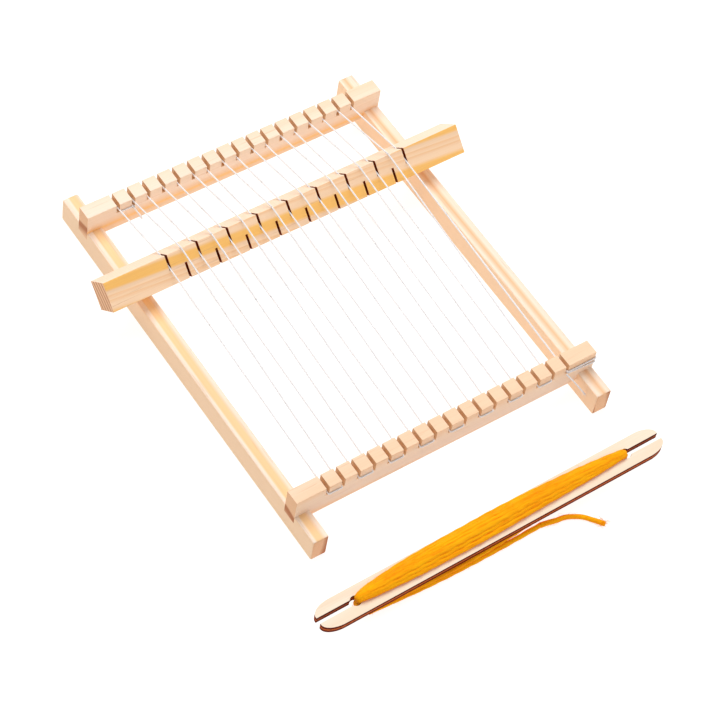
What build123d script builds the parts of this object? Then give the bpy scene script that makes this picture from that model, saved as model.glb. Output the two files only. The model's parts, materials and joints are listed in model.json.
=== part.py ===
"""A child's wooden tabletop weaving loom with its shuttle.

Units are millimetres. The origin is the middle of the loom on the table top. +X runs along
the two notched beams to the right, +Y runs along the side rails away from the weaver, and
+Z is up.
"""

import math
import os

from build123d import *

# Frame: two side rails with two notched beams let into their tops.
RAIL_LENGTH = 263.0
RAIL_WIDTH = 10.0
RAIL_HEIGHT = 17.0
RAIL_EDGE = 1.0
FRAME_WIDTH = 200.0
BEAM_SPACING = 216.4
BEAM_THICKNESS = 9.3
BEAM_HEIGHT = 19.5
BEAM_SEAT = 5.5
BEAM_EDGE = 0.3

# Warp notches along each beam.
WARP_COUNT = 17
WARP_PITCH = 10.0
NOTCH_WIDTH = 2.2
NOTCH_DEPTH = 6.5

# Corner screws, driven up from under the rails.
SCREW_SHANK_R = 1.6
SCREW_HEAD_R = 3.3
SCREW_HEAD_DEPTH = 2.4
SCREW_LENGTH = 24.0
SCREW_TIP = 3.0
SCREW_SLOT = 0.9
SCREW_SLOT_LENGTH = 1.2 * SCREW_HEAD_R
SCREW_SLOT_BOX = 3.0

# How far a cutting solid runs past the face that it cuts.
CUT_PAST = 1.0

# Heddle bar: a square bar that stands on one edge across the rails.
BAR_SIDE = 17.5
BAR_LENGTH = 238.0
BAR_SHIFT = -1.0
BAR_Y = 54.0
BAR_GAP = 0.1
BAR_EDGE = 0.3
SLOT_WIDTH = 1.5
SLOT_DEPTH = 6.65

# Warp thread.
THREAD_R = 0.5
THREAD_GAP = 0.03
THREAD_LIFT = 0.3
THREAD_TURN = 0.6
SIDE_GAP = 0.05
TURN_GAP = 0.1
SPAN_GAP = 0.2
CROSSING_HALF = 12.0
CROSSING_TURN = 8.0
KNOT_R = 0.9
WINDING_FAN = 2.6
START_TAIL = (1.0, -8.4, -2.3)
END_TAIL = [(4.0, -4.0, -5.5), (9.2, -9.6, -14.2)]

# Shuttle: a flat plywood board with an open slot and an eye at each end.
SHUTTLE_LENGTH = 229.6
SHUTTLE_WIDTH = 16.9
SHUTTLE_THICKNESS = 4.8
SHUTTLE_CENTRE = (-6.0, -167.6)
SHUTTLE_ANGLE = 0.7
SHUTTLE_NOSE = 12.0
SHUTTLE_NOSE_ROUND = 0.7
SHUTTLE_SLOT = 3.6
EYE_R = 3.2
EYE_FROM_END = 23.8

# Yarn wound lengthwise over and under the board, and its loose end.
YARN_UNDER = 6.0
YARN_OVER = 7.0
YARN_HALF_WIDTH = 7.2
YARN_LEAN = 1.5
YARN_END_HALF_WIDTH = 2.2
YARN_END_HEIGHT = 2.6
YARN_STATIONS = (-1.0, -0.55, -0.1, 0.45, 1.0)
YARN_IN_EYE = (2.6, 3.6)
YARN_EYE_SHIFT = 1.0
YARN_R = 1.5
YARN_BEND_SHARE = 0.45
YARN_TAIL_ROUTE = [
    (20.5, -176.3, 1.55),
    (28.6, -178.1, 1.55),
    (37.4, -179.3, 1.55),
    (46.4, -185.2, 1.55),
    (52.3, -194.0, 1.55),
]

# Sizes that follow from the ones above.
BEAM_BOTTOM = RAIL_HEIGHT - BEAM_SEAT
BEAM_TOP = BEAM_BOTTOM + BEAM_HEIGHT
NOTCH_FLOOR = BEAM_TOP - NOTCH_DEPTH
BAR_HALF_DIAGONAL = BAR_SIDE / math.sqrt(2)
BAR_Z = RAIL_HEIGHT + BAR_GAP + BAR_HALF_DIAGONAL
BAR_TOP = BAR_Z + BAR_HALF_DIAGONAL
THREAD_Z = NOTCH_FLOOR + THREAD_R + THREAD_GAP
THREAD_SIDE = NOTCH_WIDTH / 2 - THREAD_R - SIDE_GAP
BEAM_INNER = (BEAM_SPACING - BEAM_THICKNESS) / 2
BEAM_OUTER = (BEAM_SPACING + BEAM_THICKNESS) / 2
SHUTTLE_BOTTOM = YARN_UNDER
SHUTTLE_TOP = SHUTTLE_BOTTOM + SHUTTLE_THICKNESS
ON_BASE = (Align.CENTER, Align.CENTER, Align.MIN)


def save(shape, node):
    """Write one node's solid or group of solids to its own STEP file."""
    shape.label = node
    export_step(shape, f"parts/{node}.step")


def warp_x(index):
    """Centre of warp position 1 to WARP_COUNT along X."""
    return (index - (WARP_COUNT + 1) / 2) * WARP_PITCH


def corner_places():
    """The four points where a beam's middle crosses a rail's middle."""
    rail_x = (FRAME_WIDTH - RAIL_WIDTH) / 2
    beam_y = BEAM_SPACING / 2
    return [(sx * rail_x, sy * beam_y) for sx in (-1, 1) for sy in (-1, 1)]


# ---------------------------------------------------------------- frame


def side_rail(side):
    """A rail with eased edges and two seats for the beams in its top."""
    body = Box(RAIL_WIDTH, RAIL_LENGTH, RAIL_HEIGHT, align=ON_BASE)
    body = fillet(body.edges(), RAIL_EDGE)
    seat = Box(RAIL_WIDTH + 2 * CUT_PAST, BEAM_THICKNESS, BEAM_SEAT * 2)
    for end in (-1, 1):
        body -= Pos(0, end * BEAM_SPACING / 2, RAIL_HEIGHT) * seat
    rail_x = side * (FRAME_WIDTH - RAIL_WIDTH) / 2
    body = Pos(rail_x, 0, 0) * body
    return body - screw_holes()


def notched_beam(end):
    """A beam across the rails, with saw notches for the warp in its top."""
    body = Box(FRAME_WIDTH, BEAM_THICKNESS, BEAM_HEIGHT, align=ON_BASE)
    body = fillet(body.edges().filter_by(Axis.X).group_by(Axis.Z)[-1], BEAM_EDGE)
    notch = Box(NOTCH_WIDTH, BEAM_THICKNESS + 2 * CUT_PAST, NOTCH_DEPTH * 2)
    for index in range(1, WARP_COUNT + 1):
        body -= Pos(warp_x(index), 0, BEAM_HEIGHT) * notch
    body = Pos(0, end * BEAM_SPACING / 2, BEAM_BOTTOM) * body
    return body - screw_holes()


def screw_profile(clearance):
    """A countersunk screw's half section, standing head down with its head's face at Z = 0."""
    shank = SCREW_SHANK_R + clearance
    head = SCREW_HEAD_R + clearance
    points = [
        (0, 0),
        (head, 0),
        (shank, SCREW_HEAD_DEPTH),
        (shank, SCREW_LENGTH - SCREW_TIP),
        (0, SCREW_LENGTH),
    ]
    face = make_face(Plane.XZ * Polyline(*points, close=True))
    return revolve(face, Axis.Z)


def screw_holes():
    """The countersunk pilot holes of all four corners."""
    return [Pos(x, y, 0) * screw_profile(0) for x, y in corner_places()]


def corner_screws():
    """Four countersunk wood screws, each with a cross recess in its head."""
    recess = Box(SCREW_SLOT_LENGTH, SCREW_SLOT, SCREW_SLOT_BOX)
    recess += Box(SCREW_SLOT, SCREW_SLOT_LENGTH, SCREW_SLOT_BOX)
    screw = screw_profile(0) - recess
    return Compound(children=[Pos(x, y, 0) * screw for x, y in corner_places()])


# ---------------------------------------------------------------- heddle bar


def slot_cutter(x):
    """A saw cut straight down across the bar's top edge, with a level floor."""
    return Pos(x, 0, BAR_HALF_DIAGONAL) * Box(SLOT_WIDTH, 4 * SLOT_DEPTH, 2 * SLOT_DEPTH)


def heddle_bar():
    """A square bar on edge. Odd slots cut its top edge, even slots the next edge towards the weaver."""
    body = Box(BAR_LENGTH, BAR_SIDE, BAR_SIDE)
    body = fillet(body.edges().filter_by(Axis.X), BAR_EDGE)
    body = Pos(BAR_SHIFT, 0, 0) * Rot(45, 0, 0) * body
    for index in range(1, WARP_COUNT + 1):
        cutter = slot_cutter(warp_x(index))
        if index % 2 == 0:
            cutter = Rot(90, 0, 0) * cutter
        body -= cutter
    return Pos(0, BAR_Y, BAR_Z) * body


# ---------------------------------------------------------------- warp thread


def rod(start, end, radius=THREAD_R):
    """A straight round length between two points."""
    line = Line(start, end)
    return sweep((line ^ 0) * Circle(radius), path=line)


def bent_rod(points, turn, radius=THREAD_R):
    """A round length along straight runs with an arc at each corner."""
    path = FilletPolyline(*points, radius=turn)
    return sweep((path ^ 0) * Circle(radius), path=path)


def near_x(index):
    """Where a strand lies in its near notch: pulled against the tooth that it turns round."""
    return warp_x(index) + (THREAD_SIDE if index % 2 else -THREAD_SIDE)


def far_x(index):
    """Where a strand lies in its far notch."""
    return warp_x(index) + (-THREAD_SIDE if index % 2 and index > 1 else THREAD_SIDE)


def bar_contacts(index):
    """Where a strand meets the bar: both mouths of its slot's floor, or the bar's top edge."""
    x = warp_x(index)
    if index % 2:
        height = BAR_TOP - SLOT_DEPTH + THREAD_R + THREAD_LIFT
        return [(x, BAR_Y + side * SLOT_DEPTH, height) for side in (-1, 1)]
    return [(x, BAR_Y, BAR_TOP + THREAD_R + THREAD_LIFT)]


def line_at_y(a, b, y):
    """The point of the line through a and b at a given Y."""
    share = (y - a[1]) / (b[1] - a[1])
    return tuple(p + (q - p) * share for p, q in zip(a, b))


def strand_points(index):
    """A strand's points: at the near beam, beside the bar, on the bar, beside it and at the far beam."""
    contacts = bar_contacts(index)
    near = (near_x(index), -BEAM_OUTER, THREAD_Z)
    far = (far_x(index), BEAM_OUTER, THREAD_Z)
    return [
        line_at_y(near, contacts[0], -BEAM_INNER + SPAN_GAP),
        line_at_y(near, contacts[0], BAR_Y - CROSSING_HALF),
        *contacts,
        line_at_y(far, contacts[-1], BAR_Y + CROSSING_HALF),
        line_at_y(far, contacts[-1], BEAM_INNER - SPAN_GAP),
    ]


def warp_spans(first, second):
    """The straight lengths of all strands between two of their points."""
    strands = [strand_points(index) for index in range(1, WARP_COUNT + 1)]
    return Compound(children=[rod(points[first], points[second]) for points in strands])


def threads_at_bar(first_index):
    """The short lengths that cross the bar, of every second strand."""
    lengths = []
    for index in range(first_index, WARP_COUNT + 1, 2):
        lengths.append(bent_rod(strand_points(index)[1:-1], CROSSING_TURN))
    return Compound(children=lengths)


def in_notch(end, index):
    """A strand's two points in its notch: at the beam's inner face, and outside its outer face."""
    strand = strand_points(index)
    span = strand[:2] if end < 0 else strand[-2:]
    inner = line_at_y(*span, end * BEAM_INNER)
    return inner, (inner[0], end * (BEAM_OUTER + THREAD_R + THREAD_GAP), THREAD_Z)


def beam_turn(end, index):
    """The thread out of one notch, round the outer face of a tooth and back through the next notch."""
    left_inner, left_outer = in_notch(end, index)
    right_inner, right_outer = in_notch(end, index + 1)
    return bent_rod([left_inner, left_outer, right_outer, right_inner], THREAD_TURN)


def near_turns():
    """The thread's turns round the near beam's teeth, from notch 1 to 2, 3 to 4 and so on."""
    return Compound(children=[beam_turn(-1, index) for index in range(1, WARP_COUNT - 1, 2)])


def far_turns():
    """The thread's turns round the far beam's teeth, from notch 2 to 3, 4 to 5 and so on."""
    return Compound(children=[beam_turn(1, index) for index in range(2, WARP_COUNT, 2)])


def start_knot():
    """The warp's start: a turn round the far beam's first tooth, a knot and a short end."""
    strand_inner, strand_outer = in_notch(1, 1)
    right = warp_x(2) - THREAD_SIDE
    face = BEAM_INNER - THREAD_R - THREAD_GAP
    points = [
        strand_inner,
        strand_outer,
        (right, strand_outer[1], THREAD_Z),
        (right, face, THREAD_Z),
        (strand_inner[0] + KNOT_R, face, THREAD_Z),
    ]
    knot_centre = Vector(right, BEAM_INNER - KNOT_R - THREAD_GAP, THREAD_Z)
    tail = rod(knot_centre, knot_centre + Vector(*START_TAIL))
    return bent_rod(points, THREAD_TURN) + Pos(knot_centre) * Sphere(KNOT_R) + tail


def end_winding():
    """The warp's end: two turns round the near beam's right end and a loose end in front of notch 17."""
    strand_inner, strand_outer = in_notch(-1, WARP_COUNT)
    left, outer, lower = strand_outer
    right = FRAME_WIDTH / 2 + THREAD_R + THREAD_GAP
    face = -BEAM_INNER + THREAD_R + THREAD_GAP
    upper = lower + 2 * THREAD_R + TURN_GAP
    block = warp_x(WARP_COUNT) + NOTCH_WIDTH / 2 + THREAD_R
    first = [
        strand_inner,
        strand_outer,
        (right, outer, lower - WINDING_FAN),
        (right, face, lower - WINDING_FAN),
        (block, face, lower - 2 * THREAD_R),
    ]
    second = [
        (left, outer + 2 * THREAD_R, upper),
        (left, outer, upper),
        (right, outer, upper),
        (right, face, upper),
        (block, face, upper),
    ]
    tail_start = (left - 2 * THREAD_R - TURN_GAP, outer - THREAD_R, lower)
    tail = [tuple(p + q for p, q in zip(tail_start, step)) for step in [(0, 0, 0), *END_TAIL]]
    turns = [bent_rod(points, THREAD_TURN) for points in (first, second)]
    return Compound(children=[*turns, bent_rod(tail, CROSSING_TURN)])


# ---------------------------------------------------------------- shuttle and yarn


def on_shuttle(shape):
    """Place a shape drawn about the shuttle's middle, with Z = 0 on the table."""
    return Pos(*SHUTTLE_CENTRE, 0) * Rot(0, 0, SHUTTLE_ANGLE) * shape


def nose_outline():
    """The board's outline: straight sides and ends rounded off from their outer corners."""
    half_length = SHUTTLE_LENGTH / 2
    half_width = SHUTTLE_WIDTH / 2
    round_y = half_width * SHUTTLE_NOSE_ROUND
    flat_x = half_length - SHUTTLE_NOSE
    flat_y = half_width - round_y
    edges = []
    for sx, sy in ((1, 1), (-1, 1), (-1, -1), (1, -1)):
        corner = EllipticalCenterArc((flat_x, flat_y), SHUTTLE_NOSE, round_y, start_angle=0, arc_size=90)
        if sx < 0:
            corner = corner.mirror(Plane.YZ)
        if sy < 0:
            corner = corner.mirror(Plane.XZ)
        edges.append(corner)
    for side in (-1, 1):
        edges.append(Line((-flat_x, side * half_width), (flat_x, side * half_width)))
        edges.append(Line((side * half_length, -flat_y), (side * half_length, flat_y)))
    return make_face(Wire(edges))


def shuttle_board():
    """The flat board, with the slot that opens at each end and the eye at the slot's inner end."""
    face = nose_outline()
    for side in (-1, 1):
        eye_x = side * (SHUTTLE_LENGTH / 2 - EYE_FROM_END)
        slot_length = EYE_FROM_END + CUT_PAST
        face -= Pos(eye_x + side * slot_length / 2, 0) * Rectangle(slot_length, SHUTTLE_SLOT)
        face -= Pos(eye_x, 0) * Circle(EYE_R)
    board = extrude(face, SHUTTLE_THICKNESS)
    return on_shuttle(Pos(0, 0, SHUTTLE_BOTTOM) * board)


def winding_side(base, height, sign):
    """The yarn on one face of the board: a bundle that swells from the eyes to the middle."""
    reach = SHUTTLE_LENGTH / 2 - EYE_FROM_END + YARN_EYE_SHIFT
    sections = []
    for share in YARN_STATIONS:
        fullness = math.sqrt(1 - share**2)
        half_width = YARN_END_HALF_WIDTH + (YARN_HALF_WIDTH - YARN_END_HALF_WIDTH) * fullness
        tall = YARN_END_HEIGHT + (height - YARN_END_HEIGHT) * fullness
        lean = sign * YARN_LEAN * fullness
        start = 0 if sign > 0 else 180
        arc = EllipticalCenterArc((lean, base), half_width, tall, start_angle=start, arc_size=180)
        chord = Line(arc @ 1, arc @ 0)
        sections.append(Plane.YZ.offset(share * reach) * make_face(Wire([arc, chord])))
    return loft(sections, ruled=True)


def yarn_winding():
    """The wound yarn: a bundle over the board, one under it, and the lengths through both eyes."""
    body = winding_side(SHUTTLE_TOP, YARN_OVER, 1) + winding_side(SHUTTLE_BOTTOM, YARN_UNDER, -1)
    eye_x = SHUTTLE_LENGTH / 2 - EYE_FROM_END
    in_eye = Box(*YARN_IN_EYE, SHUTTLE_THICKNESS, align=ON_BASE)
    for side in (-1, 1):
        body += Pos(side * (eye_x - YARN_EYE_SHIFT), 0, SHUTTLE_BOTTOM) * in_eye
    return on_shuttle(body)


def yarn_tail():
    """The yarn's loose end on the table, along straight runs joined by large arcs."""
    points = [Vector(*p) for p in YARN_TAIL_ROUTE]
    radii = []
    for before, here, after in zip(points, points[1:], points[2:]):
        turn = math.radians((here - before).get_angle(after - here))
        shorter = min((here - before).length, (after - here).length)
        radii.append(YARN_BEND_SHARE * shorter / math.tan(turn / 2))
    path = FilletPolyline(*points, radius=radii)
    tube = sweep((path ^ 0) * Circle(YARN_R), path=path)
    section_by_length = math.pi * YARN_R**2 * path.length
    print("yarn tail radii", [round(radius, 1) for radius in radii], "length", round(path.length, 2))
    print("yarn tail volume", round(tube.volume, 2), "section by length", round(section_by_length, 2))
    return tube


def main():
    """Write every node."""
    os.makedirs("parts", exist_ok=True)
    save(side_rail(-1), "left_side_rail")
    save(side_rail(1), "right_side_rail")
    save(notched_beam(-1), "near_notched_beam")
    save(notched_beam(1), "far_notched_beam")
    save(corner_screws(), "corner_screws")
    save(heddle_bar(), "heddle_bar")
    save(warp_spans(0, 1), "warp_near_spans")
    save(warp_spans(-2, -1), "warp_far_spans")
    save(threads_at_bar(1), "odd_threads_at_bar")
    save(threads_at_bar(2), "even_threads_at_bar")
    save(near_turns(), "warp_near_turns")
    save(far_turns(), "warp_far_turns")
    save(start_knot(), "warp_start_knot")
    save(end_winding(), "warp_end_winding")
    save(shuttle_board(), "shuttle_board")
    save(yarn_winding(), "yarn_winding")
    save(yarn_tail(), "yarn_tail")


main()
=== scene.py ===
import json
import math

import bpy
import numpy as np
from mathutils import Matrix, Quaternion, Vector


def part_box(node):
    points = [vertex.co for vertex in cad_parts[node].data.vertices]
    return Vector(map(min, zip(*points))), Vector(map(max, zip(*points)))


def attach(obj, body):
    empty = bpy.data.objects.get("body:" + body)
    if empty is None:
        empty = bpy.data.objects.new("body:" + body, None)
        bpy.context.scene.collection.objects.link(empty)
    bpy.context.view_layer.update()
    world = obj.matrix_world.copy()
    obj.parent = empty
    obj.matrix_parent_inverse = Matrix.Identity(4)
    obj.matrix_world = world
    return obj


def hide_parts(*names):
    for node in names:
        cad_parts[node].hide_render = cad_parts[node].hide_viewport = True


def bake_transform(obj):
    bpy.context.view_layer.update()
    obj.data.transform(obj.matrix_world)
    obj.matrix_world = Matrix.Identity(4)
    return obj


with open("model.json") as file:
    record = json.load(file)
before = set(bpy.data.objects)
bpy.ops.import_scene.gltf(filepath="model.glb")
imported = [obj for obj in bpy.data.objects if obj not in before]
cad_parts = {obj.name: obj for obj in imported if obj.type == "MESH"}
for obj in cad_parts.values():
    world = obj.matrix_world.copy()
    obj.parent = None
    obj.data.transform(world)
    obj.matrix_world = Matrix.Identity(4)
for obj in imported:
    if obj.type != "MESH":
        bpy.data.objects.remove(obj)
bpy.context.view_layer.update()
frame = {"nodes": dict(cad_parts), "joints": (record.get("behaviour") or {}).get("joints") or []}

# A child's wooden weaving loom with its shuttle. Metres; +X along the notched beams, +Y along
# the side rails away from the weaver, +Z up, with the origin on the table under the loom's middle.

# Camera.
CAMERA_PLACE = (-0.5962, -0.6694, 1.2152)
CAMERA_TARGET = (-0.0138, -0.0465, 0.02)
CAMERA_ROLL = math.radians(11.34)
CAMERA_LENS = 132.5

# Light tent: each lamp's place, side and power, the even light of the room, and the glowing table.
KEY_LAMP = ((0.1, 0.6, 1.5), 1.3, 21)
FILL_LAMP = ((1.1, -1.0, 0.9), 1.0, 4)
ROOM_COLOUR = (1.0, 0.99, 0.985, 1)
ROOM_STRENGTH = 0.47
FLOOR_HALF = 4.0
FLOOR_GREY = (0.3, 0.3, 0.3, 1)
FLOOR_GLOW = 0.84

# Warp thread, as the CAD model lays it.
WARP_COUNT = 17
WARP_PITCH = 0.010
NOTCH_WIDTH = 0.0022
NOTCH_DEPTH = 0.0065
THREAD_R = 0.0005
THREAD_LIFT = 0.0003
THREAD_FACE = 0.00053
THREAD_SIDE = NOTCH_WIDTH / 2 - THREAD_R - 0.00005
THREAD_PITCH = 0.0042
THREAD_PLIES = 3
THREAD_BEND = 0.0009
CROSSING_BEND = 0.0028
SLOT_DEPTH = 0.00665
BAR_SIDE = 0.0175
RING_STEP = 0.0005
TURN_STEP = RING_STEP * 0.7
THREAD_GROOVE = 0.1
THREAD_GAP = 0.0001
THREAD_FIBRE_R = 0.00004
WINDING_FAN = 0.0026
KNOT_SIZE = 0.0007

# Where the saw's and the laser's marks lie on the wood.
NOTCH_ROW_MARGIN = 0.005
NOTCH_MARK_TOP = 0.003
NOTCH_MARK_BELOW = 0.001
SLOT_ROW_HALF = 0.085
SLOT_SKIN = 0.00035

# Where the strands change from one body's motion to the next, along Y.
NEAR_SPLIT = 0.0065
FAR_SPLIT = 0.078

# How far the bar's rings lean from its near face.
RING_LEAN = 0.2

# Shuttle yarn.
SHUTTLE_ANGLE = math.radians(0.7)
EYE_FROM_END = 0.0238
YARN_R = 0.0015
YARN_TAIL_ROUTE = [
    (0.0205, -0.1763, 0.00155),
    (0.0286, -0.1781, 0.00155),
    (0.0374, -0.1793, 0.00155),
    (0.0464, -0.1852, 0.00155),
    (0.0523, -0.1940, 0.00155),
]
YARN_PITCH = 0.030
YARN_PLIES = 3
YARN_GROOVE = 0.12
YARN_SIDES = 14
YARN_STEP = 0.0011
YARN_FIBRES = 60
TAIL_STEP = 0.0008
TABLE_GAP = 0.0001
ROUTE_BEND = 0.022
EYE_INSET = 0.0014
EYE_SPREAD = 0.0013
STRAND_R = 0.0017
STRAND_STATIONS = 61
FULLEST = -0.1

# Under the board's near side, the yarn that leads to the tail and one beside it: along, across, up.
YARN_LEADER = [
    (-0.0860, -0.0065, 0.0025),
    (-0.0400, -0.0093, 0.0022),
    (0.0000, -0.0096, 0.0018),
    (0.0270, -0.0091, 0.00155),
]
YARN_BESIDE = [
    (-0.0880, -0.0050, 0.0036),
    (-0.0450, -0.0084, 0.0042),
    (-0.0100, -0.0084, 0.0040),
    (0.0350, -0.0050, 0.0040),
]

SEED = 41

near_low, near_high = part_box("near_notched_beam")
rail_low, rail_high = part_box("left_side_rail")
board_low, board_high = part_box("shuttle_board")
turn_joint = next(joint for joint in frame["joints"] if joint["name"] == "heddle_turn")
BEAM_OUTER = -near_low.y
BEAM_INNER = -near_high.y
NOTCH_FLOOR = near_high.z - NOTCH_DEPTH
THREAD_Z = NOTCH_FLOOR + THREAD_FACE
BAR_CENTRE = Vector(turn_joint["pos_m"])
BAR_TOP = BAR_CENTRE.z + BAR_SIDE / math.sqrt(2)
FRAME_HALF = near_high.x
RAIL_WIDTH = rail_high.x - rail_low.x
RAIL_HEIGHT = rail_high.z
SHUTTLE_CENTRE = (board_low + board_high) / 2
BOARD_TOP = board_high.z
BOARD_BOTTOM = board_low.z
EYE_REACH = (board_high.x - board_low.x) / 2 - EYE_FROM_END


# ---------------------------------------------------------------- camera, light, floor


def new_object(name, data):
    """An object for some data, linked into the scene."""
    made = bpy.data.objects.new(name, data)
    bpy.context.scene.collection.objects.link(made)
    return made


def make_camera():
    """The camera at the photograph's angle."""
    data = bpy.data.cameras.new("camera")
    data.lens = CAMERA_LENS
    camera = new_object("camera", data)
    place = Vector(CAMERA_PLACE)
    look = (Vector(CAMERA_TARGET) - place).to_track_quat("-Z", "Y")
    camera.location = place
    camera.rotation_mode = "QUATERNION"
    camera.rotation_quaternion = look @ Quaternion((0, 0, 1), CAMERA_ROLL)
    bpy.context.scene.camera = camera


def area_light(name, place, size, power):
    """A soft square lamp that faces the loom."""
    data = bpy.data.lights.new(name, "AREA")
    data.shape = "SQUARE"
    data.size = size
    data.energy = power
    lamp = new_object(name, data)
    lamp.location = place
    lamp.rotation_mode = "QUATERNION"
    lamp.rotation_quaternion = (-Vector(place)).to_track_quat("-Z", "Y")


def make_light():
    """An even white room, a soft lamp above and behind, and a weak one at the front right."""
    scene = bpy.context.scene
    scene.view_settings.view_transform = "Standard"
    world = bpy.data.worlds.new("studio")
    world.use_nodes = True
    background = world.node_tree.nodes["Background"]
    background.inputs["Color"].default_value = ROOM_COLOUR
    background.inputs["Strength"].default_value = ROOM_STRENGTH
    scene.world = world
    area_light("key", *KEY_LAMP)
    area_light("fill", *FILL_LAMP)


def make_floor():
    """A pale glowing table top, as in a light tent."""
    turns = ((-1, -1), (1, -1), (1, 1), (-1, 1))
    corners = [(x * FLOOR_HALF, y * FLOOR_HALF, 0) for x, y in turns]
    mesh = bpy.data.meshes.new("floor")
    mesh.from_pydata(corners, [], [(0, 1, 2, 3)])
    floor = new_object("floor", mesh)
    nodes = Nodes("floor")
    nodes.set("Base Color", FLOOR_GREY)
    nodes.set("Roughness", 0.9)
    nodes.set("Emission Color", (1, 1, 1, 1))
    nodes.set("Emission Strength", FLOOR_GLOW)
    mesh.materials.append(nodes.material)


# ---------------------------------------------------------------- materials


def paint(red, green, blue):
    """An sRGB colour, each part 0 to 255, as linear RGBA."""
    parts = [part / 255 for part in (red, green, blue)]
    linear = [p / 12.92 if p <= 0.04045 else ((p + 0.055) / 1.055) ** 2.4 for p in parts]
    return (*linear, 1.0)


class Nodes:
    """A material with a Principled shader, and short calls for the nodes that feed it."""

    def __init__(self, name):
        self.material = bpy.data.materials.new(name)
        self.material.use_nodes = True
        self.tree = self.material.node_tree
        self.shader = self.tree.nodes["Principled BSDF"]

    def put(self, socket, value):
        if isinstance(value, bpy.types.NodeSocket):
            self.tree.links.new(value, socket)
        else:
            socket.default_value = value

    def set(self, name, value):
        self.put(self.shader.inputs[name], value)

    def add(self, kind, inputs=None, **settings):
        node = self.tree.nodes.new("ShaderNode" + kind)
        for key, value in settings.items():
            setattr(node, key, value)
        for key, value in (inputs or {}).items():
            self.put(node.inputs[key], value)
        return node

    def math(self, operation, *values):
        return self.add("Math", dict(enumerate(values)), operation=operation).outputs[0]

    def mix(self, share, first, second, how="MIX"):
        node = self.add("Mix", {0: share, 6: first, 7: second}, data_type="RGBA", blend_type=how)
        return node.outputs[2]

    def ramp(self, factor, stops):
        """Colours or greys along 0 to 1."""
        node = self.add("ValToRGB", {0: factor})
        elements = node.color_ramp.elements
        while len(elements) < len(stops):
            elements.new(0.5)
        for element, (position, colour) in zip(elements, stops):
            element.position = position
            element.color = colour
        return node.outputs[0]

    def steps(self, value, low, high):
        """0 below low, 1 above high, smooth between."""
        inputs = {"Value": value, "From Min": low, "From Max": high}
        return self.add("MapRange", inputs, interpolation_type="SMOOTHSTEP").outputs[0]

    def noise(self, scale, detail=2.0, stretch=(1, 1, 1)):
        """Noise over the piece's own place, with its grain longer along an axis of low stretch."""
        mapped = self.add("Mapping", {"Vector": self.place, "Scale": stretch}).outputs[0]
        inputs = {"Vector": mapped, "Scale": scale, "Detail": detail}
        return self.add("TexNoise", inputs).outputs[0]

    def bump(self, height, strength, distance):
        inputs = {"Height": height, "Strength": strength, "Distance": distance}
        self.set("Normal", self.add("Bump", inputs).outputs[0])

    @property
    def place(self):
        return self.add("TexCoord").outputs["Object"]

    def axes(self):
        """The place's X, Y and Z."""
        return self.add("SeparateXYZ", {0: self.place}).outputs

    def normal_axes(self):
        """The surface normal's X, Y and Z, which turn with the piece."""
        return self.add("SeparateXYZ", {0: self.add("TexCoord").outputs["Normal"]}).outputs

    def facing(self, normal_part):
        """1 where the surface faces either way along the axis of this part of its normal."""
        return self.steps(self.math("ABSOLUTE", normal_part), 0.6, 0.8)


def along_axis(axis, small, large=1.0):
    """A stretch that draws noise out along one axis."""
    return tuple(small if index == axis else large for index in range(3))


PINE_PALE = paint(250, 231, 218)
PINE_CREAM = paint(250, 229, 210)
PINE_PEACH = paint(248, 212, 180)
PINE_HONEY = paint(255, 198, 110)
PINE_BLUSH = paint(250, 226, 208)
PINE_GOLD = paint(250, 208, 156)
PINE_TAN = paint(240, 192, 148)
# Partly painted shade, partly figure: the warmer colour given to side faces, for the tone they take
# in shade and for the wood's own figure there.
PINE_FLANK_SHADE_AND_FIGURE = paint(252, 208, 160)
PINE_ROSE = paint(255, 219, 184)
PINE_LINE = paint(250, 204, 158)
END_PALE = paint(242, 190, 144)
END_DARK = paint(188, 112, 60)


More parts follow.
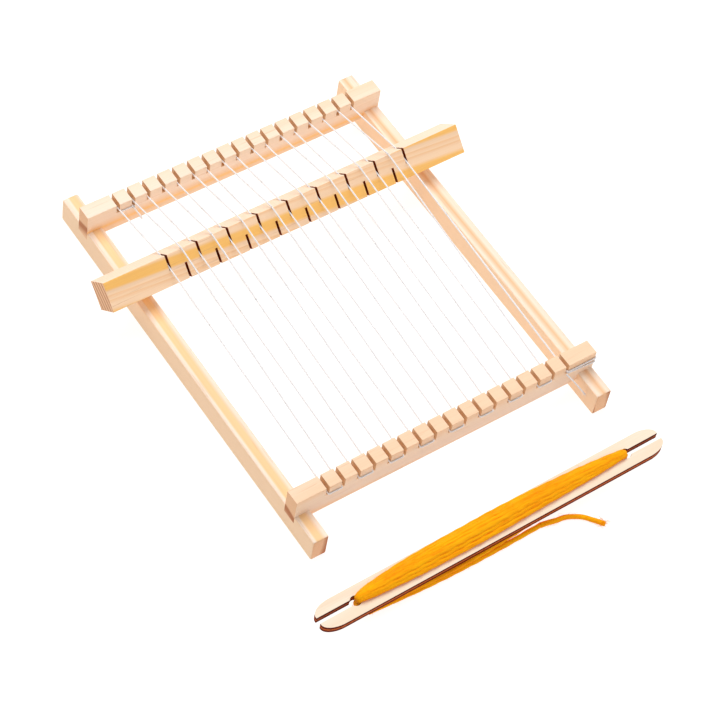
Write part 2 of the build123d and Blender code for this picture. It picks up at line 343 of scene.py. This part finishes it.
class Pine(Nodes):
    """Sawn pine cut from a trunk: rings round a heart line, fibres along the grain, and end grain.

    outward is the direction across the rings from the heart, and radius the heart's distance from
    the piece's centre. drift is how far the rings run out of the piece per metre along it, ring the
    width of one ring, start its phase at the piece's centre, and wobble how far it wanders.
    """

    def __init__(self, name, axis, centre, outward, radius, drift, ring, start, stops, wobble):
        super().__init__(name)
        self.axis = axis
        outward = Vector(outward).normalized()
        heart = Vector(centre) - outward * radius
        if axis == 0:
            tilt = (0, drift * outward.z, -drift * outward.y)
        else:
            tilt = (-drift * outward.z, 0, drift * outward.x)
        far_scale = tuple(1000.0 if index == axis else 1.0 for index in range(3))
        inputs = {"Vector": self.place, "Location": heart, "Rotation": tilt, "Scale": far_scale}
        from_heart = self.add("Mapping", inputs, vector_type="TEXTURE").outputs[0]
        distance = self.add("VectorMath", {0: from_heart}, operation="LENGTH").outputs["Value"]
        wander = self.math("SUBTRACT", self.noise(30, 2, along_axis(axis, 0.2)), 0.5)
        distance = self.math("MULTIPLY_ADD", wander, wobble, distance)
        turns = self.math("DIVIDE", self.math("SUBTRACT", distance, radius), ring)
        turns = self.math("ADD", turns, start)
        self.phase = self.math("FRACT", turns)
        self.colour = self.ramp(self.phase, stops)
        self.shine = 0.3
        self.add_fibres()
        self.add_end_grain()

    def add_fibres(self):
        """Fine streaks along the grain, with short darker dashes."""
        fine = self.noise(1500, 3, along_axis(self.axis, 0.012))
        broad = self.noise(170, 2, along_axis(self.axis, 0.04))
        dashes = self.noise(900, 1, along_axis(self.axis, 0.03))
        shade = self.ramp(fine, [(0.25, (0.96, 0.94, 0.91, 1)), (0.75, (1.03, 1.03, 1.02, 1))])
        self.colour = self.mix(0.9, self.colour, shade, "MULTIPLY")
        shade = self.ramp(broad, [(0.3, (0.97, 0.945, 0.91, 1)), (0.7, (1.03, 1.03, 1.03, 1))])
        self.colour = self.mix(0.8, self.colour, shade, "MULTIPLY")
        dark = self.steps(dashes, 0.66, 0.72)
        self.colour = self.mix(self.math("MULTIPLY", dark, 0.3), self.colour, paint(214, 164, 116))
        self.height = self.math("SUBTRACT", fine, self.math("MULTIPLY", dark, 0.6))

    def add_end_grain(self):
        """The ends drink the light: darker, redder and rougher than the sides."""
        end = self.facing(self.normal_axes()[self.axis])
        speckle = self.noise(2600, 2)
        rings = [
            (0.0, END_PALE),
            (0.55, END_PALE),
            (0.8, END_DARK),
            (0.92, END_DARK),
            (1.0, END_PALE),
        ]
        tint = self.ramp(speckle, [(0.3, (0.86, 0.82, 0.78, 1)), (0.7, (1.05, 1.05, 1.05, 1))])
        ends = self.mix(0.8, self.ramp(self.phase, rings), tint, "MULTIPLY")
        self.colour = self.mix(end, self.colour, ends)

    def finish(self, roughness=0.55):
        """Link colour, roughness and relief to the shader."""
        self.set("Base Color", self.colour)
        self.set("Specular IOR Level", self.shine)
        self.set("Roughness", self.math("MULTIPLY_ADD", self.height, 0.16, roughness - 0.08))
        self.bump(self.height, 0.35, 0.00025)
        return self.material


def rail_pine(side):
    """A side rail: rings stand upright, so that the top shows lengthwise bands."""
    stops = [
        (0.0, PINE_BLUSH),
        (0.14, PINE_CREAM),
        (0.22, PINE_GOLD if side < 0 else PINE_CREAM),
        (0.5, PINE_GOLD if side < 0 else PINE_TAN),
        (0.6, PINE_PEACH),
        (0.7, PINE_CREAM),
        (1.0, PINE_BLUSH),
    ]
    centre = (side * (FRAME_HALF - RAIL_WIDTH / 2), 0, RAIL_HEIGHT / 2)
    outward = (1, 0, 0.12 * side)
    pine = Pine(
        f"pine_rail_{side}",
        axis=1,
        centre=centre,
        outward=outward,
        radius=0.09,
        drift=0.006 * side,
        ring=0.0112,
        start=0.42,
        stops=stops,
        wobble=0.0022,
    )
    # Partly painted shade, partly figure: the side faces are painted a warmer orange, for their
    # tone in shade and for the wood's figure on its sides.
    flank_shade_and_figure = pine.facing(pine.normal_axes()[0])
    pine.colour = pine.mix(pine.math("MULTIPLY", flank_shade_and_figure, 0.75), pine.colour, PINE_FLANK_SHADE_AND_FIGURE)
    return pine.finish()


def beam_pine(end):
    """A notched beam, with the saw's darker marks inside the notches."""
    stops = [
        (0.0, PINE_PALE),
        (0.4, PINE_CREAM),
        (0.62, PINE_PEACH),
        (0.72, PINE_HONEY if end > 0 else PINE_PEACH),
        (0.84, PINE_PEACH),
        (1.0, PINE_PALE),
    ]
    centre = (0, end * (BEAM_OUTER + BEAM_INNER) / 2, (near_low.z + near_high.z) / 2)
    outward = (0, 0.25 * end, 1)
    pine = Pine(
        f"pine_beam_{end}",
        axis=0,
        centre=centre,
        outward=outward,
        radius=0.14,
        drift=0.012,
        ring=0.021,
        start=0.02 if end > 0 else 0.2,
        stops=stops,
        wobble=0.003,
    )
    across, _, up = pine.axes()
    normal_x, normal_y, normal_z = pine.normal_axes()
    # Partly painted shade, partly figure: the near and far faces are painted a little warmer, for
    # their tone in shade and for the wood's figure on them.
    flank_shade_and_figure = pine.facing(normal_y)
    pine.colour = pine.mix(pine.math("MULTIPLY", flank_shade_and_figure, 0.3), pine.colour, PINE_FLANK_SHADE_AND_FIGURE)
    wall = pine.facing(normal_x)
    inside = pine.math("LESS_THAN", pine.math("ABSOLUTE", across), FRAME_HALF - NOTCH_ROW_MARGIN)
    low = pine.math("LESS_THAN", up, near_high.z - NOTCH_MARK_TOP)
    high = pine.math("GREATER_THAN", up, NOTCH_FLOOR - NOTCH_MARK_BELOW)
    level = pine.math("GREATER_THAN", normal_z, 0.7)
    ground = pine.math("MULTIPLY", level, pine.math("MULTIPLY", low, high))
    cut = pine.math("MAXIMUM", pine.math("MULTIPLY", wall, inside), ground)
    marks = pine.noise(700, 2, (1, 0.3, 3))
    sawn = pine.ramp(marks, [(0.3, paint(232, 186, 140)), (0.7, paint(246, 208, 166))])
    pine.colour = pine.mix(cut, pine.colour, sawn)
    return pine.finish(0.6)


def bar_pine():
    """The heddle bar: a honey band that drifts down its near face, scorched slots, and painted
    light: its far upper face painted paler.
    """
    stops = [
        (0.0, PINE_ROSE),
        (0.1, PINE_LINE),
        (0.13, PINE_ROSE),
        (0.25, PINE_LINE),
        (0.28, PINE_ROSE),
        (0.38, PINE_PEACH),
        (0.47, PINE_HONEY),
        (0.74, PINE_HONEY),
        (0.86, PINE_ROSE),
        (1.0, PINE_ROSE),
    ]
    up_face = Vector((0, 1, 1)).normalized()
    out_face = Vector((0, -1, 1)).normalized()
    outward = out_face * math.cos(RING_LEAN) + up_face * math.sin(RING_LEAN)
    pine = Pine(
        "pine_bar",
        axis=0,
        centre=BAR_CENTRE,
        outward=outward,
        radius=0.3,
        drift=0.0135,
        ring=0.0035,
        start=0.19,
        stops=stops,
        wobble=0.0011,
    )
    _, normal_y, normal_z = pine.normal_axes()
    # Painted light: the far upper face, turned towards the key lamp above and behind, is painted a
    # paler cream.
    painted_light_far_face = pine.steps(pine.math("ADD", normal_y, normal_z), 0.8, 1.2)
    pine.colour = pine.mix(pine.math("MULTIPLY", painted_light_far_face, 0.7), pine.colour, PINE_CREAM)
    across, back, up = pine.axes()
    away = pine.math("SUBTRACT", back, BAR_CENTRE.y)
    rise = pine.math("SUBTRACT", up, BAR_CENTRE.z)
    first = pine.math("ABSOLUTE", pine.math("ADD", away, rise))
    second = pine.math("ABSOLUTE", pine.math("SUBTRACT", away, rise))
    depth = pine.math("MAXIMUM", first, second)
    skin = BAR_SIDE / 2 * math.sqrt(2)
    inner = pine.math("LESS_THAN", depth, skin - SLOT_SKIN)
    in_row = pine.math("LESS_THAN", pine.math("ABSOLUTE", across), SLOT_ROW_HALF)
    cut = pine.math("MULTIPLY", inner, in_row)
    burnt = pine.ramp(pine.noise(500, 3), [(0.3, paint(110, 24, 6)), (0.7, paint(160, 62, 22))])
    pine.colour = pine.mix(cut, pine.colour, burnt)
    pine.shine = pine.math("MULTIPLY_ADD", cut, -0.28, 0.3)
    return pine.finish()


def plywood():
    """The shuttle board: pale faces, and laser-cut edges burnt dark with the plies showing."""
    nodes = Nodes("plywood")
    normal_z = nodes.normal_axes()[2]
    across, back, up = nodes.axes()
    figure = nodes.noise(60, 3, (0.12, 1, 1))
    face_stops = [
        (0.3, paint(245, 224, 198)),
        (0.55, paint(248, 231, 210)),
        (0.75, paint(243, 217, 188)),
    ]
    face = nodes.ramp(figure, face_stops)
    fine = nodes.noise(1500, 3, (0.02, 1, 1))
    shade = nodes.ramp(fine, [(0.25, (0.95, 0.92, 0.88, 1)), (0.75, (1.03, 1.02, 1.01, 1))])
    face = nodes.mix(0.8, face, shade, "MULTIPLY")
    above = nodes.math("SUBTRACT", up, BOARD_BOTTOM)
    share = nodes.math("DIVIDE", above, BOARD_TOP - BOARD_BOTTOM)
    ply_stops = [
        (0.0, paint(112, 32, 12)),
        (0.3, paint(116, 30, 10)),
        (0.42, paint(204, 106, 54)),
        (0.56, paint(204, 106, 54)),
        (0.68, paint(110, 26, 8)),
        (0.9, paint(92, 18, 6)),
        (1.0, paint(128, 44, 20)),
    ]
    plies = nodes.ramp(share, ply_stops)
    soot = nodes.noise(900, 3, (1, 1, 0.4))
    char = nodes.ramp(soot, [(0.3, (0.6, 0.55, 0.5, 1)), (0.7, (1.1, 1.1, 1.1, 1))])
    edge_colour = nodes.mix(0.8, plies, char, "MULTIPLY")
    edge = nodes.math("LESS_THAN", nodes.math("ABSOLUTE", normal_z), 0.5)
    nodes.set("Base Color", nodes.mix(edge, face, edge_colour))
    nodes.set("Roughness", nodes.math("MULTIPLY_ADD", fine, 0.2, 0.48))
    nodes.set("Specular IOR Level", nodes.math("MULTIPLY_ADD", edge, -0.28, 0.3))
    nodes.bump(fine, 0.3, 0.0002)
    return nodes.material


def cotton():
    """White spun cotton, with soft shading between its fibres."""
    nodes = Nodes("cotton")
    fibres = nodes.noise(5200, 3, (1, 0.25, 1))
    colour = nodes.ramp(fibres, [(0.3, (0.73, 0.71, 0.72, 1)), (0.65, (0.80, 0.78, 0.79, 1))])
    nodes.set("Base Color", colour)
    nodes.set("Roughness", 0.85)
    nodes.set("Specular IOR Level", 0.2)
    nodes.set("Sheen Weight", 0.15)
    nodes.set("Subsurface Weight", 0.9)
    nodes.set("Subsurface Radius", (1, 1, 1))
    nodes.set("Subsurface Scale", 0.0012)
    nodes.bump(fibres, 0.3, 0.0001)
    return nodes.material


def yarn():
    """Soft orange knitting yarn, streaked along its strands and darker between them, with painted
    shade: faces turned down are painted a deeper orange.
    """
    nodes = Nodes("yarn")
    streak = nodes.noise(1300, 3, (0.05, 1, 1))
    patch = nodes.noise(150, 2, (0.2, 1, 1))
    stops = [(0.2, paint(240, 118, 0)), (0.42, paint(253, 168, 0)), (0.8, paint(255, 188, 6))]
    colour = nodes.ramp(streak, stops)
    # Painted shade: faces turned down get a deeper orange that stands in for the shade under the
    # yarn.
    painted_shade_facing = nodes.steps(nodes.normal_axes()[2], -0.6, 0.7)
    colour = nodes.mix(painted_shade_facing, paint(255, 150, 0), colour)
    tone = nodes.ramp(patch, [(0.36, (1.0, 0.80, 0.7, 1)), (0.56, (1.04, 1.03, 1.0, 1))])
    nodes.set("Base Color", nodes.mix(0.8, colour, tone, "MULTIPLY"))
    nodes.set("Roughness", 0.9)
    nodes.set("Specular IOR Level", 0.15)
    nodes.set("Sheen Weight", 0.2)
    nodes.set("Sheen Tint", paint(255, 196, 90))
    nodes.bump(streak, 0.6, 0.0003)
    return nodes.material


def steel():
    """Zinc-plated screw steel."""
    nodes = Nodes("steel")
    grain = nodes.noise(1800, 3)
    colour = nodes.ramp(grain, [(0.3, paint(150, 152, 156)), (0.7, paint(198, 200, 204))])
    nodes.set("Base Color", colour)
    nodes.set("Metallic", 1.0)
    nodes.set("Roughness", nodes.math("MULTIPLY_ADD", grain, 0.25, 0.25))
    nodes.bump(grain, 0.15, 0.0001)
    return nodes.material


# ---------------------------------------------------------------- tubes


def distances(points):
    """How far along a line of points each one lies."""
    lengths = np.linalg.norm(np.diff(points, axis=0), axis=1)
    return np.concatenate([[0.0], np.cumsum(lengths)])


def resample(points, step):
    """Points an even step apart along a line of points."""
    points = np.array([tuple(p) for p in points], float)
    along = distances(points)
    count = max(2, int(round(along[-1] / step)) + 1)
    wanted = np.linspace(0, along[-1], count)
    return np.stack([np.interp(wanted, along, points[:, k]) for k in range(3)], axis=1)


def bent(points, reach, steps=6):
    """Straight runs with a smooth bend that starts a short reach before each corner."""
    points = [Vector(p) for p in points]
    line = [points[0]]
    for before, corner, after in zip(points, points[1:], points[2:]):
        start = corner + (before - corner).normalized() * min(reach, (before - corner).length / 2)
        end = corner + (after - corner).normalized() * min(reach, (after - corner).length / 2)
        for step in range(steps + 1):
            share = step / steps
            line.append(start.lerp(corner, share).lerp(corner.lerp(end, share), share))
    return line + [points[-1]]


def side_directions(points):
    """Two directions across the line at each point, turned as little as possible along it."""
    tangents = np.gradient(points, axis=0)
    tangents /= np.linalg.norm(tangents, axis=1)[:, None]
    start = np.array([0.0, 0.0, 1.0]) if abs(tangents[0][2]) < 0.9 else np.array([1.0, 0.0, 0.0])
    across = np.zeros_like(points)
    for index, tangent in enumerate(tangents):
        start = start - tangent * (start @ tangent)
        start /= np.linalg.norm(start)
        across[index] = start
    return across, np.cross(tangents, across)


def twisted_rings(points, radius, plies, pitch, sides=12, groove=0.16):
    """Rings of a tube whose lobed section turns along it, like plies twisted together."""
    points = np.array([tuple(p) for p in points], float)
    radius = np.broadcast_to(np.asarray(radius, float), len(points))
    first, second = side_directions(points)
    along = distances(points)
    angles = np.linspace(0, 2 * math.pi, sides, endpoint=False)
    lobes = np.cos(plies * (angles[None, :] - 2 * math.pi * along[:, None] / pitch))
    reach = radius[:, None] * (1 - groove / 2 + groove / 2 * lobes)
    cosines = np.cos(angles)[None, :, None]
    sines = np.sin(angles)[None, :, None]
    spokes = cosines * first[:, None, :] + sines * second[:, None, :]
    return points[:, None, :] + reach[..., None] * spokes


class Tubes:
    """Closed tubes gathered into one mesh."""

    def __init__(self):
        self.points = []
        self.faces = []
        self.count = 0

    def add(self, rings):
        """Skin a row of rings and close both ends."""
        number, sides = rings.shape[:2]
        base = self.count
        for ring in range(number - 1):
            low = base + ring * sides
            for side in range(sides):
                after = (side + 1) % sides
                high = low + sides
                self.faces.append((low + side, low + after, high + after, high + side))
        self.faces.append(tuple(base + side for side in reversed(range(sides))))
        self.faces.append(tuple(base + (number - 1) * sides + side for side in range(sides)))
        self.points.extend(map(tuple, rings.reshape(-1, 3)))
        self.count += number * sides

    def make(self, name, material):
        """The finished object, in the frame's own place."""
        mesh = bpy.data.meshes.new(name)
        mesh.from_pydata(self.points, [], self.faces)
        mesh.polygons.foreach_set("use_smooth", [True] * len(mesh.polygons))
        mesh.materials.append(material)
        piece = new_object(name, mesh)
        return piece


def add_fibres(tubes, rings, centres, rng, count, length, radius):
    """Fine loose fibres that stand a little off a tube's surface."""
    steps = 4
    for _ in range(count):
        ring = rng.integers(1, len(rings) - 1)
        side = rng.integers(0, rings.shape[1])
        root = rings[ring, side]
        outward = root - centres[ring]
        outward /= np.linalg.norm(outward)
        forward = (centres[ring + 1] - centres[ring - 1]) * rng.choice([-1.0, 1.0])
        forward /= np.linalg.norm(forward)
        sideways = np.cross(outward, forward) * rng.normal(0, 0.5)
        size = length * rng.uniform(0.5, 1.2)
        lift = rng.uniform(0.15, 0.6)
        line = []
        for step in range(steps):
            share = step / (steps - 1)
            bow = outward * lift * math.sin(share * 2.2)
            point = root - outward * radius + size * (forward * share + bow + sideways * share**2)
            point[2] = max(point[2], radius * 1.1)
            line.append(point)
        taper = np.linspace(radius, radius * 0.4, steps)
        tubes.add(twisted_rings(line, taper, 1, 1.0, 3, 0.0))


# ---------------------------------------------------------------- warp thread


def warp_x(index):
    """Centre of warp position 1 to WARP_COUNT along X."""
    return (index - (WARP_COUNT + 1) / 2) * WARP_PITCH


def strand_points(index):
    """A strand's points: against its near tooth, on the bar, and against its far tooth."""
    near_x = warp_x(index) + (THREAD_SIDE if index % 2 else -THREAD_SIDE)
    far_x = warp_x(index) + (-THREAD_SIDE if index % 2 and index > 1 else THREAD_SIDE)
    depth, sides = (SLOT_DEPTH, (-1, 1)) if index % 2 else (0.0, (0,))
    height = BAR_TOP - depth + THREAD_R + THREAD_LIFT
    contacts = [Vector((warp_x(index), BAR_CENTRE.y + side * depth, height)) for side in sides]
    near = Vector((near_x, -BEAM_OUTER, THREAD_Z))
    far = Vector((far_x, BEAM_OUTER, THREAD_Z))
    return [near, *contacts, far]


def at_y(start, end, y):
    """The point of a straight line at a given Y."""
    return start.lerp(end, (y - start.y) / (end.y - start.y))


def strand_line(index):
    """A strand between the beams' inner faces, bent over the bar."""
    points = strand_points(index)
    points[0] = at_y(points[0], points[1], -BEAM_INNER)
    points[-1] = at_y(points[-2], points[-1], BEAM_INNER)
    return resample(bent(points, CROSSING_BEND), RING_STEP)


def thread_rings(line):
    """Three cotton plies twisted together along a line."""
    return twisted_rings(line, THREAD_R, THREAD_PLIES, THREAD_PITCH, groove=THREAD_GROOVE)


def add_turn(tubes, corners):
    """Thread laid tightly round a row of corners."""
    tubes.add(thread_rings(resample(bent(corners, THREAD_BEND), TURN_STEP)))


def add_frayed_end(tubes, corners, reach, rng, frayed, count, length):
    """A short loose end of thread, with fibres along the last few rings of it."""
    line = resample(bent(corners, reach), TURN_STEP)
    rings = thread_rings(line)
    tubes.add(rings)
    add_fibres(tubes, rings[-frayed:], line[-frayed:], rng, count, length, THREAD_FIBRE_R)


def strand_lengths(name, indices, start_y, end_y, material):
    """One length of several strands, as one piece."""
    tubes = Tubes()
    for index in indices:
        line = strand_line(index)
        rings = thread_rings(line)
        first = int(np.argmin(abs(line[:, 1] - start_y)))
        last = int(np.argmin(abs(line[:, 1] - end_y)))
        tubes.add(rings[first:last + 1])
    return tubes.make(name, material)


def make_strands(material):
    """All strands, in lengths that each run across one joint."""
    every = range(1, WARP_COUNT + 1)
    odd = range(1, WARP_COUNT + 1, 2)
    even = range(2, WARP_COUNT + 1, 2)
    over_bar = BAR_CENTRE.y
    lengths = [
        ("warp_near_lengths", every, -BEAM_INNER, NEAR_SPLIT, "frame", "warp"),
        ("odd_near_lengths", odd, NEAR_SPLIT, over_bar, "warp", "odd_threads"),
        ("even_near_lengths", even, NEAR_SPLIT, over_bar, "warp", "even_threads"),
        ("odd_far_lengths", odd, over_bar, FAR_SPLIT, "odd_threads", "warp"),
        ("even_far_lengths", even, over_bar, FAR_SPLIT, "even_threads", "warp"),
        ("warp_far_lengths", every, FAR_SPLIT, BEAM_INNER, "warp", "frame"),
    ]
    for name, indices, start_y, end_y, first_body, second_body in lengths:
        piece = strand_lengths(name, indices, start_y, end_y, material)
        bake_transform(piece)
    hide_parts("warp_near_spans")
    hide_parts("warp_far_spans")
    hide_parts("odd_threads_at_bar")
    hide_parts("even_threads_at_bar")


def in_notch(end, index):
    """A strand's two points in its notch: at the beam's inner face, and outside its outer face."""
    points = strand_points(index)
    outer, contact = points[:2] if end < 0 else (points[-1], points[-2])
    inner = at_y(outer, contact, end * BEAM_INNER)
    return inner, Vector((inner.x, end * (BEAM_OUTER + THREAD_FACE), THREAD_Z))


def make_turns(name, end, first_index, node, material):
    """The thread's turns round every second tooth of one beam."""
    tubes = Tubes()
    for index in range(first_index, WARP_COUNT, 2):
        left_inner, left_outer = in_notch(end, index)
        right_inner, right_outer = in_notch(end, index + 1)
        add_turn(tubes, [left_inner, left_outer, right_outer, right_inner])
    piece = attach(tubes.make(name, material), "frame")
    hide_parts(node)


def knot_line(centre, size):
    """A small overhand knot pulled round a point."""
    line = []
    for angle in np.linspace(0.25, 2 * math.pi - 0.05, 60):
        across = math.sin(angle) + 2 * math.sin(2 * angle)
        up = math.cos(angle) - 2 * math.cos(2 * angle)
        out = -math.sin(3 * angle)
        line.append(centre + Vector((across, out * 0.9, up)) * size / 3)
    return line


def make_start(material, rng):
    """The warp's start: a turn round the first far tooth, a knot and a short loose end."""
    inner, outer = in_notch(1, 1)
    right = warp_x(2) - THREAD_SIDE
    face = BEAM_INNER - THREAD_FACE
    knot = Vector((right, face - 0.0004, THREAD_Z))
    corners = [
        inner,
        outer,
        (right, outer.y, THREAD_Z),
        (right, face, THREAD_Z),
        (inner.x + 0.0009, face, THREAD_Z),
    ]
    tubes = Tubes()
    add_turn(tubes, corners)
    tubes.add(twisted_rings(knot_line(knot, KNOT_SIZE), THREAD_R * 0.7, THREAD_PLIES, THREAD_PITCH))
    tail = [
        knot,
        knot + Vector((0.0005, -0.0045, -0.0007)),
        knot + Vector((0.0010, -0.0084, -0.0023)),
    ]
    add_frayed_end(tubes, tail, 0.003, rng, frayed=6, count=14, length=0.0016)
    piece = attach(tubes.make("warp_start", material), "frame")
    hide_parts("warp_start_knot")


def make_end(material, rng):
    """The warp's end: two turns round the near beam's right end and a loose end."""
    inner, outer_point = in_notch(-1, WARP_COUNT)
    left, outer, lower = outer_point
    right = FRAME_HALF + THREAD_FACE
    face = -BEAM_INNER + THREAD_FACE
    upper = lower + 2 * THREAD_R + THREAD_GAP
    block = warp_x(WARP_COUNT) + NOTCH_WIDTH / 2 + THREAD_R
    first = [
        inner,
        outer_point,
        (right, outer, lower - WINDING_FAN),
        (right, face, lower - WINDING_FAN),
        (block, face, lower - 2 * THREAD_R),
    ]
    second = [
        (left, outer + 2 * THREAD_R, upper),
        (left, outer, upper),
        (right, outer, upper),
        (right, face, upper),
        (block, face, upper),
    ]
    tail_start = Vector((left - 2 * THREAD_R - THREAD_GAP, outer - THREAD_R, lower))
    tail = [
        tail_start,
        tail_start + Vector((0.0040, -0.0040, -0.0055)),
        tail_start + Vector((0.0092, -0.0096, -0.0142)),
    ]
    tubes = Tubes()
    for corners in (first, second):
        add_turn(tubes, corners)
    add_frayed_end(tubes, tail, 0.005, rng, frayed=8, count=18, length=0.0018)
    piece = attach(tubes.make("warp_end", material), "frame")
    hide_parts("warp_end_winding")


# ---------------------------------------------------------------- yarn


def on_shuttle(along, across, up):
    """A point drawn about the shuttle's middle, in the frame."""
    cosine, sine = math.cos(SHUTTLE_ANGLE), math.sin(SHUTTLE_ANGLE)
    x = SHUTTLE_CENTRE.x + along * cosine - across * sine
    y = SHUTTLE_CENTRE.y + along * sine + across * cosine
    return (x, y, up)


def fullness(share):
    """How thick the winding is along it: 0 at the eyes, 1 a little left of the middle."""
    if share > FULLEST:
        return max(0.0, 1 - ((share - FULLEST) / (1 - FULLEST)) ** 1.6) ** 0.8
    return max(0.0, 1 - ((FULLEST - share) / (1 + FULLEST)) ** 2) ** 0.6


def bundle_places(layers):
    """Where each yarn lies in the bundle: across from -1 to 1, and height from 0 to 1."""
    places = []
    for level, number in enumerate(layers):
        width = 1.0 - 0.34 * level
        height = level / max(1, len(layers) - 1)
        for item in range(number):
            across = (2 * item / (number - 1) - 1) * width if number > 1 else 0.0
            places.append((across, height))
    return places


def yarn_strand(place, side, tall, half_width, lean, rng):
    """One pass of yarn from eye to eye over one face of the board, and its radius along it."""
    across, height = place
    base = BOARD_TOP if side > 0 else BOARD_BOTTOM
    middle = (BOARD_TOP + BOARD_BOTTOM) / 2
    waves = rng.uniform(0, 2 * math.pi, 3)
    drift = rng.uniform(-0.16, 0.16)
    end_across = across * EYE_SPREAD
    line = []
    thickness = []
    line.append(on_shuttle(EYE_INSET - EYE_REACH, end_across, middle))
    thickness.append(0.6)
    for share in np.linspace(-1, 1, STRAND_STATIONS):
        full = fullness(share)
        wave = 0.0002 * math.sin(4 * share + waves[0]) + 0.0001 * math.sin(9 * share + waves[1])
        span = (half_width - STRAND_R) * full
        wander = drift * share * (1 - abs(across) * 0.7)
        shift = (across + wander) * span + lean * full + wave * full
        shift += end_across * (1 - full)
        rise = STRAND_R * 0.8 + (0.25 + 0.75 * full) * height * (tall - 2 * STRAND_R)
        rise += 0.0001 * math.sin(6 * share + waves[2]) * full
        line.append(on_shuttle(share * (EYE_REACH - EYE_INSET), shift, base + side * rise))
        thickness.append(0.8 + 0.2 * min(1.0, full * 1.4))
    line.append(on_shuttle(EYE_REACH - EYE_INSET, end_across, middle))
    thickness.append(0.6)
    return line, thickness


def add_yarn(tubes, line, thickness, rng):
    """A length of soft three-ply yarn with its halo of fibres, kept clear of the table."""
    even = resample(line, YARN_STEP)
    shares = np.linspace(0, 1, len(even))
    swell = np.interp(shares, np.linspace(0, 1, len(thickness)), thickness)
    phase = rng.uniform(0, 2 * math.pi)
    swell = swell * (1 + 0.02 * np.sin(shares * 40 + phase))
    rings = twisted_rings(even, STRAND_R * swell, YARN_PLIES, YARN_PITCH, YARN_SIDES, YARN_GROOVE)
    rings[..., 2] = np.maximum(rings[..., 2], TABLE_GAP)
    tubes.add(rings)
    add_fibres(tubes, rings, even, rng, YARN_FIBRES, 0.0026, 0.00005)


def make_winding(material):
    """The yarn wound lengthwise round the board: a bundle over it and one under it."""
    rng = np.random.default_rng(SEED)
    tubes = Tubes()
    # Side of the board, yarns in each layer, height, half width, and the lean across.
    bundles = [
        (1, (6, 5, 3), 0.0064, 0.0070, 0.0012),
        (-1, (6, 4), 0.0052, 0.0072, -0.0004),
    ]
    for side, layers, tall, half_width, lean in bundles:
        for place in bundle_places(layers):
            line, thickness = yarn_strand(place, side, tall, half_width, lean, rng)
            add_yarn(tubes, line, thickness, rng)
    for route in (YARN_LEADER, YARN_BESIDE):
        line = bent([on_shuttle(*place) for place in route], ROUTE_BEND)
        add_yarn(tubes, line, [0.5, 0.85, 0.9, 0.9], rng)
    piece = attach(tubes.make("wound_yarn", material), "shuttle")
    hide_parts("yarn_winding")


def route_points():
    """The yarn tail's smooth line, read from a spline through its route."""
    curve = bpy.data.curves.new("yarn_tail_route", "CURVE")
    curve.dimensions = "3D"
    curve.resolution_u = 16
    spline = curve.splines.new("NURBS")
    spline.points.add(len(YARN_TAIL_ROUTE) - 1)
    for point, place in zip(spline.points, YARN_TAIL_ROUTE):
        point.co = (*place, 1)
    spline.order_u = 3
    spline.use_endpoint_u = True
    holder = new_object("yarn_tail_route", curve)
    bpy.context.view_layer.update()
    line = [vertex.co.copy() for vertex in bpy.data.meshes.new_from_object(holder).vertices]
    bpy.data.objects.remove(holder)
    return line


def make_tail(material):
    """The yarn's loose end on the table, blunt and a little frayed."""
    rng = np.random.default_rng(SEED + 1)
    line = resample(route_points(), TAIL_STEP)
    swell = np.interp(np.linspace(0, 1, len(line)), (0, 0.4, 0.7, 1), (1.12, 1.04, 1.0, 1.08))
    swell[-2:] = (1.0, 0.8)
    rings = twisted_rings(line, YARN_R * swell, YARN_PLIES, YARN_PITCH, YARN_SIDES, YARN_GROOVE)
    tubes = Tubes()
    tubes.add(rings)
    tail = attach(tubes.make("loose_yarn_end", material), "shuttle")
    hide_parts("yarn_tail")
    fuzz = Tubes()
    add_fibres(fuzz, rings, line, rng, 60, 0.0030, 0.00006)
    add_fibres(fuzz, rings[-5:], line[-5:], rng, 40, 0.0034, 0.00007)
    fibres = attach(fuzz.make("loose_yarn_fibres", material), "shuttle")


# ---------------------------------------------------------------- put together


def dress(node, material):
    """Give a CAD node its material."""
    for slot in frame["nodes"][node].material_slots:
        slot.material = material


def main():
    """Every piece of the loom, and the studio round it."""
    yarn_material = yarn()
    make_camera()
    make_light()
    make_floor()
    make_tail(yarn_material)
    dress("left_side_rail", rail_pine(-1))
    dress("right_side_rail", rail_pine(1))
    dress("near_notched_beam", beam_pine(-1))
    dress("far_notched_beam", beam_pine(1))
    dress("heddle_bar", bar_pine())
    dress("corner_screws", steel())
    dress("shuttle_board", plywood())
    cotton_material = cotton()
    make_strands(cotton_material)
    make_turns("warp_near_loops", -1, 1, "warp_near_turns", cotton_material)
    make_turns("warp_far_loops", 1, 2, "warp_far_turns", cotton_material)
    rng = np.random.default_rng(SEED + 2)
    make_start(cotton_material, rng)
    make_end(cotton_material, rng)
    make_winding(yarn_material)


main()
